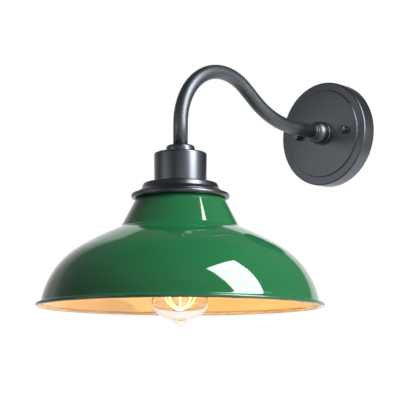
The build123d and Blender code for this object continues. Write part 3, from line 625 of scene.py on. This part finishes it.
# %% Cap nuts
STUD_SPACING = 69.85
STUD_HOLE_R = 2.15
NUT_R = 4.4
NUT_BACK = 21.4
NUT_FRONT = 28.0
NUT_HOLE_END = 26.4
NUT_ROUND = 1.1
EDGE_BREAK = 0.2
WASHER_R = 5.0
WASHER_BACK = 20.5
WASHER_FRONT = 21.3
WASHER_ROUND = 0.25
for side, way in (("left", -1), ("right", 1)):
    stud = Matrix.Translation((way * STUD_SPACING / 2 * MM, 0, 0)) @ WALL_AXIS
    turned("cap_nut_" + side, [
        (STUD_HOLE_R, NUT_BACK), (NUT_R, NUT_BACK, EDGE_BREAK), (NUT_R, NUT_FRONT, NUT_ROUND),
        (0, NUT_FRONT), (0, NUT_HOLE_END), (STUD_HOLE_R, NUT_HOLE_END)],
        stud, "nut_" + side, ["thumb_nut_" + side], [brushed_face], steps=48)
    turned("cap_washer_" + side, [
        (STUD_HOLE_R, WASHER_BACK), (WASHER_R, WASHER_BACK, EDGE_BREAK),
        (WASHER_R, WASHER_FRONT, WASHER_ROUND), (STUD_HOLE_R, WASHER_FRONT)],
        stud, "washer_" + side, ["nut_washer_" + side], [brushed_face], steps=48)

# %% [markdown]
# ## Enamel
# Enamel is glass melted onto steel: a deep colour under a very smooth, very slightly wavy skin. The
# wave is a large, faint bump, because a perfect mirror would look like plastic film.

# %% Enamel finishes
def enamel(name, tone, deeper):
    """A smooth glassy colour, clouded and finely speckled towards a deeper one."""
    finish = new_finish(name)
    cloud = finish.grain(finish.place(), scale=9, detail=3)
    speck = finish.grain(finish.place(), scale=2200, detail=1)
    skin = finish.grain(finish.place(), scale=60, detail=1)
    colour = finish.blend(cloud * 0.6 + speck * 0.4, tone, deeper)
    relief = finish.bumps(skin, distance=0.0004, strength=0.04)
    shader = finish.surface(Base_Color=colour, Roughness=0.035 + speck * 0.02, Normal=relief, IOR=1.9)
    return finish.done(shader)


green_enamel = enamel("green_enamel", rgb(0.020, 0.198, 0.068), rgb(0.015, 0.165, 0.055))
white_enamel = enamel("white_enamel", rgb(0.84, 0.81, 0.75), rgb(0.79, 0.76, 0.70))

# %% [markdown]
# ## Shade
# The shade is spun from one disc of steel: a flat collar, a cone, a crease, then a brow that runs into
# a tight bowl. Its outside is green and its inside white. Only the outer skin is drawn, from exact
# arcs, and Solidify adds the sheet's thickness inwards, with the second finish on the new side. The
# rolled rim is a ring of its own, green outside and white on its inner half.

# %% Shade
SEAT_GAP = 0.1
SHADE_TOP_Z = GALLERY_Z - SHEET - SEAT_GAP
CONE_SHOULDER = (28.5, SHADE_TOP_Z, 4.5)
CONE_TOP = (44.25, -98.5, 9.0)
CREASE = (63.7, -136.0)
CREASE_ROUND = 4.0
BOWL_CENTRE = Vector((63.55, -229.6))
BOWL_END = (146.4, -213.5)
BOWL_SWEEP = 48.0
SKIRT_R = 146.9
SKIRT_ROUND = 1.6
RIM_RING_R = 150.4
RIM_Z = -218.2
RIM_BEAD_R = 2.0

shape = bmesh.new()
lower = chain(shape, [(RIM_RING_R, RIM_Z + RIM_BEAD_R), (SKIRT_R, RIM_Z + RIM_BEAD_R, SKIRT_ROUND),
                      BOWL_END])
bowl_top = sweep_arc(shape, lower[-1], BOWL_CENTRE, -BOWL_SWEEP, steps=40)
bowl_top_point = Vector((bowl_top.co.x, bowl_top.co.z)) / MM
inward = (BOWL_CENTRE - bowl_top_point).normalized()
brow = Vector(CREASE) - bowl_top_point
brow_centre = bowl_top_point + inward * brow.length_squared / (2 * brow.dot(inward))
brow_swing = arc_degrees(brow_centre, bowl_top_point, CREASE)
crease = sweep_arc(shape, bowl_top, brow_centre, brow_swing, steps=16)
chain(shape, [CONE_TOP, CONE_SHOULDER, (SHADE_HOLE_R, SHADE_TOP_Z)], start=crease)
round_corner(shape, crease, CREASE_ROUND)
spun(shape, steps=288)
shade = piece("shade_skin", shape, SHADE_AXIS, "shade", ["shade"], [green_enamel, white_enamel])
sheet_wall(shade, SHEET, inner_finish=1)
bead("shade_rim", RIM_RING_R, RIM_Z, RIM_BEAD_R, SHADE_AXIS, "shade", ["shade"],
     [green_enamel, white_enamel], steps=288)

# %% [markdown]
# ## Bulb
# The glass is blown: a neck, a long taper, a round end and a small pip where it was drawn off. The
# round end is an arc swept on the lathe and then pressed shallower, since no operator draws an
# ellipse. Light from the filament has to get out through the glass, and a path tracer treats glass
# as opaque to its lamps, so the glass lets shadow rays through.

# %% Bulb glass
NECK_END_Z = -121.35
BULB_NECK_R = 11.9
BULB_R = 30.2
TAPER_TOP = (BULB_NECK_R, -139.8, 80.0)
TAPER_END = (BULB_R, -208.0, 44.0)
WIDEST_Z = -214.5
BULB_BOTTOM = 20.4
GLASS_WALL = 0.9
PIP_R = 10.2
TIP_R = 4.8
TIP_Z = -240.0


def clear_glass(name, tint, roughness):
    """Glass that is faintly seeded with bubbles and lets shadow rays straight through."""
    finish = new_finish(name)
    seed = finish.grain(finish.place(), scale=90, detail=1)
    relief = finish.bumps(seed, distance=0.0001, strength=0.05)
    body = finish.surface(Base_Color=tint, Roughness=roughness, IOR=1.45, Normal=relief,
                          Transmission_Weight=1.0)
    through = finish.node("ShaderNodeBsdfTransparent", {}, {"Color": tint})
    shadow = finish.node("ShaderNodeLightPath", output="Is Shadow Ray")
    return finish.done(finish.node("ShaderNodeMixShader", {}, {0: shadow, 1: body, 2: through}))


bulb_glass = clear_glass("bulb_glass_clear", tint=rgb(0.98, 0.98, 0.98), roughness=0.0)
shape = bmesh.new()
taper = chain(shape, [(BULB_NECK_R, NECK_END_Z), TAPER_TOP, TAPER_END, (BULB_R, WIDEST_Z)])
above = set(shape.verts)
end_swing = math.degrees(math.acos(PIP_R / BULB_R))
round_end = sweep_arc(shape, taper[-1], (0, WIDEST_Z), end_swing, steps=20)
arc = [vert for vert in shape.verts if vert not in above]
bmesh.ops.scale(shape, vec=(1, 1, BULB_BOTTOM / BULB_R), verts=arc,
                space=Matrix.Translation((0, 0, -WIDEST_Z * MM)))
tip_centre = Vector((0, TIP_Z + TIP_R))
fall = round_end.co.z / MM - tip_centre.y
flank = math.atan2(fall, PIP_R) + math.asin(TIP_R / math.hypot(fall, PIP_R))
tip_start = (TIP_R * math.sin(flank), tip_centre.y - TIP_R * math.cos(flank))
tip = chain(shape, [tip_start], start=round_end)
sweep_arc(shape, tip[0], tip_centre, math.degrees(flank), steps=8)
spun(shape, steps=96)
glass = piece("bulb_glass_skin", shape, SHADE_AXIS, "bulb", ["bulb_glass"], [bulb_glass])
sheet_wall(glass, GLASS_WALL)

# %% [markdown]
# ## Filament
# Four loops of fine wire glow in the bulb, each hung from two support wires. Each is a small circle
# carried down, round and up again. Their colour is warm, and hottest at the bottom of the loops.

# %% Filament
LOOPS = 4
LOOP_R = 16.0
LOOP_TOP_Z = -168.75
LOOP_BOTTOM_Z = -223.4
LOOP_STEP = 1.1
WIRE_R = 0.35
COOL_HEIGHT = -0.19
HOT_HEIGHT = -0.225

glow = new_finish("filament_glow")
height = glow.node("ShaderNodeSeparateXYZ", {}, {0: glow.place()}, output="Z")
heat = glow.node("ShaderNodeMapRange", {}, {0: height, 1: COOL_HEIGHT, 2: HOT_HEIGHT})
ember = glow.blend(heat, rgb(1.0, 0.42, 0.10), rgb(1.0, 0.66, 0.28))
glow_filament = glow.done(glow.surface(Base_Color=ember, Roughness=0.5, Emission_Color=ember,
                                       Emission_Strength=5.0))

shape = bmesh.new()
for number in range(LOOPS):
    bottom = LOOP_BOTTOM_Z + number * LOOP_STEP
    one_loop = bmesh.new()
    bmesh.ops.create_circle(one_loop, segments=8, radius=WIRE_R * MM,
                            matrix=Matrix.Translation((-LOOP_R * MM, 0, LOOP_TOP_Z * MM)))
    leg = Vector((0, 0, (bottom + LOOP_R - LOOP_TOP_Z) * MM))
    ring = advance(one_loop, one_loop.edges[:], leg)
    former = (0, 0, (bottom + LOOP_R) * MM)
    ring = bend(one_loop, ring, former, math.radians(-180), steps=32, axis=(0, 1, 0))
    advance(one_loop, ring, -leg)
    faced_out(one_loop)
    bmesh.ops.holes_fill(one_loop, edges=[edge for edge in one_loop.edges if edge.is_boundary], sides=0)
    one_loop.transform(Matrix.Rotation(math.radians(180 / LOOPS * number), 4, "Z"))
    loop_mesh = bpy.data.meshes.new("loop")
    one_loop.to_mesh(loop_mesh)
    one_loop.free()
    shape.from_mesh(loop_mesh)
    bpy.data.meshes.remove(loop_mesh)
piece("filament_loops", shape, SHADE_AXIS, "bulb", ["filament"], [glow_filament])

# %% [markdown]
# ## The filament's light
# A small warm lamp in the middle of the loops stands for the light that they throw, because a wire so
# thin is hard for a path tracer to find and would light the shade in specks. The lamp is hidden from
# the camera, mirrors and glass, so that through the bulb only the wire itself shows.

# %% Filament light
LAMP_HEIGHT = -0.205
warm = bpy.data.lights.new("filament_light", "POINT")
warm.color = (1.0, 0.51, 0.127)
warm.energy = 1.04
warm.shadow_soft_size = LOOP_R * MM
warm_holder = bpy.data.objects.new("filament_light", warm)
warm_holder.location = (0, -REACH * MM, LAMP_HEIGHT)
warm_holder.visible_camera = warm_holder.visible_glossy = warm_holder.visible_transmission = False
scene.collection.objects.link(warm_holder)
print("filament light:", warm.energy, "W")

# %% [markdown]
# ## Finishes for the plain parts
# The screws, nuts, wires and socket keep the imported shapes, which are right, and only need finishes.
# Bare metals differ in colour and in how fine their grain is, and moulded parts in colour and gloss,
# so one recipe for each kind is enough.

# %% Plain finishes
def bare_metal(name, tone, deeper, roughness, scale):
    """Metal with a grain of slightly darker crystals, clouded a little."""
    finish = new_finish(name)
    crystal = finish.grain(finish.place(), scale, detail=3, roughness=0.7)
    cloud = finish.grain(finish.place(), scale / 12, detail=1)
    colour = finish.blend(crystal * 0.6 + cloud * 0.4, tone, deeper)
    relief = finish.bumps(crystal, distance=0.00003, strength=0.4)
    shader = finish.surface(Base_Color=colour, Metallic=1.0, Roughness=roughness + crystal * 0.15,
                            Normal=relief)
    return finish.done(shader)


def moulded(name, tone, deeper, roughness, scale):
    """Plastic, rubber or glaze: an even colour with a faint cloud and a fine skin."""
    finish = new_finish(name)
    cloud = finish.grain(finish.place(), scale / 20, detail=2)
    skin = finish.grain(finish.place(), scale, detail=2)
    colour = finish.blend(cloud * 0.7 + skin * 0.3, tone, deeper)
    relief = finish.bumps(skin, distance=0.00004, strength=0.3)
    shader = finish.surface(Base_Color=colour, Roughness=roughness + skin * 0.08, Normal=relief)
    return finish.done(shader)


zinc = bare_metal("zinc_plate", rgb(0.66, 0.66, 0.64), rgb(0.48, 0.49, 0.50), 0.28, 900)
brass = bare_metal("plain_brass", rgb(0.80, 0.58, 0.25), rgb(0.62, 0.42, 0.16), 0.22, 700)
shell_metal = bare_metal("rolled_shell_metal", rgb(0.80, 0.76, 0.66), rgb(0.62, 0.58, 0.50), 0.25, 800)
solder = bare_metal("solder", rgb(0.62, 0.62, 0.63), rgb(0.40, 0.40, 0.42), 0.35, 1500)
wire_steel = bare_metal("support_wire", rgb(0.36, 0.35, 0.34), rgb(0.22, 0.21, 0.20), 0.35, 2500)
green_screw = bare_metal("green_dyed_steel", rgb(0.05, 0.32, 0.10), rgb(0.03, 0.20, 0.06), 0.30, 900)
porcelain = moulded("glazed_porcelain", rgb(0.84, 0.82, 0.77), rgb(0.76, 0.73, 0.67), 0.10, 900)
phenolic = moulded("black_phenolic", rgb(0.022, 0.020, 0.019), rgb(0.040, 0.034, 0.030), 0.28, 1400)
black_rubber = moulded("black_insulation", rgb(0.020, 0.020, 0.021), rgb(0.034, 0.034, 0.036), 0.42, 2600)
white_rubber = moulded("white_insulation", rgb(0.80, 0.79, 0.76), rgb(0.70, 0.69, 0.65), 0.42, 2600)
green_rubber = moulded("green_insulation", rgb(0.030, 0.27, 0.07), rgb(0.020, 0.20, 0.05), 0.42, 2600)
orange_cap = moulded("orange_connector", rgb(0.78, 0.25, 0.03), rgb(0.64, 0.18, 0.02), 0.30, 1600)
black_glass = moulded("black_insulator_glass", rgb(0.012, 0.012, 0.014), rgb(0.028, 0.026, 0.030),
                      0.12, 1200)
stem_glass = clear_glass("stem_glass", tint=rgb(0.90, 0.95, 0.92), roughness=0.03)

# %% [markdown]
# ## Dressing the plain parts
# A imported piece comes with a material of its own, so that one is taken off and the finish put on. The
# table says which pieces share a finish.

# %% Plain parts
PLAIN = {
    zinc: ["mounting_strap", "canopy_studs", "stud_lock_nuts", "arm_lock_washer", "arm_lock_nut",
           "wall_nipple", "wall_bush", "socket_bush", "socket_nipple", "socket_lock_nuts",
           "socket_bracket", "bracket_screws"],
    brass: ["screw_shell", "centre_contact", "terminal_screws"],
    shell_metal: ["bulb_base"], solder: ["bulb_contact"], wire_steel: ["filament_supports"],
    green_screw: ["ground_screw"], porcelain: ["socket_body"], phenolic: ["shade_ring"],
    black_rubber: ["line_wire"], white_rubber: ["neutral_wire"], green_rubber: ["ground_wire"],
    orange_cap: ["wire_connectors"], black_glass: ["bulb_insulator"], stem_glass: ["glass_stem"],
}
for finish, names in PLAIN.items():
    for name in names:
        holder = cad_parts[name]
        holder.data.materials.clear()
        holder.data.materials.append(finish)
print("packed parts with a finish:", sum(len(names) for names in PLAIN.values()))
